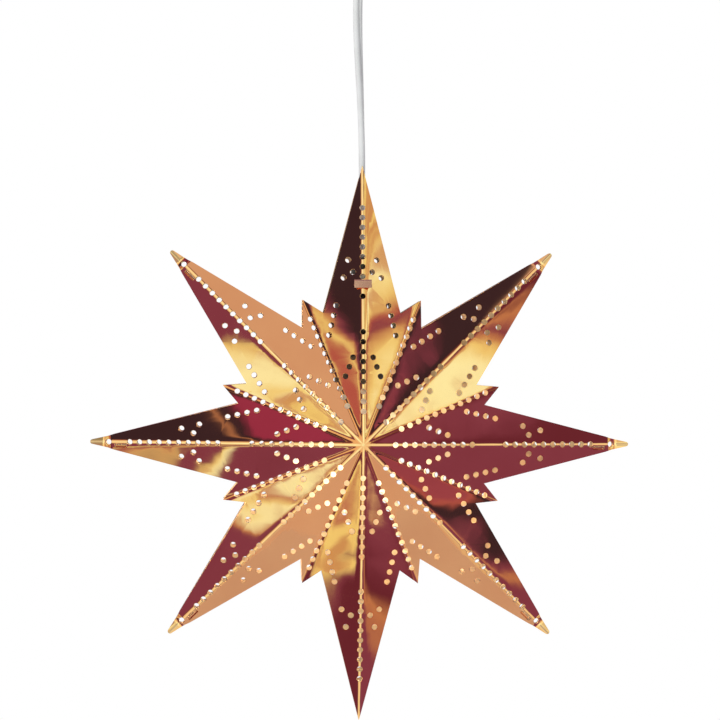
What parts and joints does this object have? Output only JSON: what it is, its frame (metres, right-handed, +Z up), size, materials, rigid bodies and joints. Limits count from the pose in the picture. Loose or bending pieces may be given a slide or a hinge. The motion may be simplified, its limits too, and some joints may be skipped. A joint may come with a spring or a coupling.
{
  "type": "folded metal star pendant lamp",
  "caption": "Folded and perforated copper star in two joined halves, hung on a white twin cord from a ceiling cup, with a small screw lampholder and bulb inside.",
  "frame": {"origin": "on the ceiling face, midway between the two ceiling screws of the bracket", "axes": "+Z up to the ceiling, the star's face looks along -Y, +X to the right seen from its front"},
  "size_m": [0.277, 0.0812, 0.4425],
  "materials": {
    "front_star_sheet": "polished",
    "back_star_sheet": "polished",
    "joining_tongues": "polished",
    "lamp_strap": "satin",
    "holder_nipple": "satin",
    "holder_nut": "satin",
    "holder_cap": "satin",
    "holder_skirt": "satin",
    "holder_insert": "matte",
    "thread_sleeve": "satin",
    "centre_contact": "satin",
    "cord_grip": "satin",
    "bulb_glass": "frosted",
    "bulb_cap": "satin",
    "bulb_insulator": "gloss",
    "bulb_contact": "satin",
    "hanging_cord": "satin",
    "core_tails": "satin",
    "cord_hanger": "satin",
    "terminal_block": "matte",
    "ceiling_hook": "satin",
    "hook_nut": "satin",
    "ceiling_bracket": "satin",
    "ceiling_cup": "satin",
    "cup_grip": "satin",
    "grip_screw": "satin"
  },
  "bodies": {
    "ceiling_fitting": {"ceiling_bracket": "ceiling_bracket", "ceiling_hook": "ceiling_hook", "hook_nut": "hook_nut"},
    "ceiling_cup": {"ceiling_cup": "ceiling_cup", "cup_grip": "cup_grip", "grip_screw": "grip_screw"},
    "hanging_lamp": {"front_star_sheet": "front_star_sheet", "lamp_strap": "lamp_strap", "holder_nipple": "holder_nipple", "holder_nut": "holder_nut", "holder_cap": "holder_cap", "holder_skirt": "holder_skirt", "holder_insert": "holder_insert", "thread_sleeve": "thread_sleeve", "centre_contact": "centre_contact", "cord_grip": "cord_grip", "hanging_cord": "hanging_cord", "core_tails": "core_tails", "cord_hanger": "cord_hanger", "terminal_block": "terminal_block"},
    "back_half": {"back_star_sheet": "back_star_sheet", "joining_tongues": "joining_tongues"},
    "bulb": {"bulb_glass": "bulb_glass", "bulb_cap": "bulb_cap", "bulb_insulator": "bulb_insulator", "bulb_contact": "bulb_contact"}
  },
  "joints": [
    {"name": "pendant_swing", "type": "hinge", "parent": "ceiling_fitting", "child": "hanging_lamp", "pos_m": [0, 0, -0.018], "axis": [1, 0, 0], "range_deg": [-5, 5]},
    {"name": "cup_slide", "type": "slide", "parent": "hanging_lamp", "child": "ceiling_cup", "axis": [0, 0, -1], "range_m": [0, 0.085]},
    {"name": "back_half_off", "type": "slide", "parent": "hanging_lamp", "child": "back_half", "axis": [0, 1, 0], "range_m": [0, 0.06]},
    {"name": "bulb_out", "type": "slide", "parent": "hanging_lamp", "child": "bulb", "axis": [0, 0, -1], "range_m": [0, 0.026]}
  ]
}
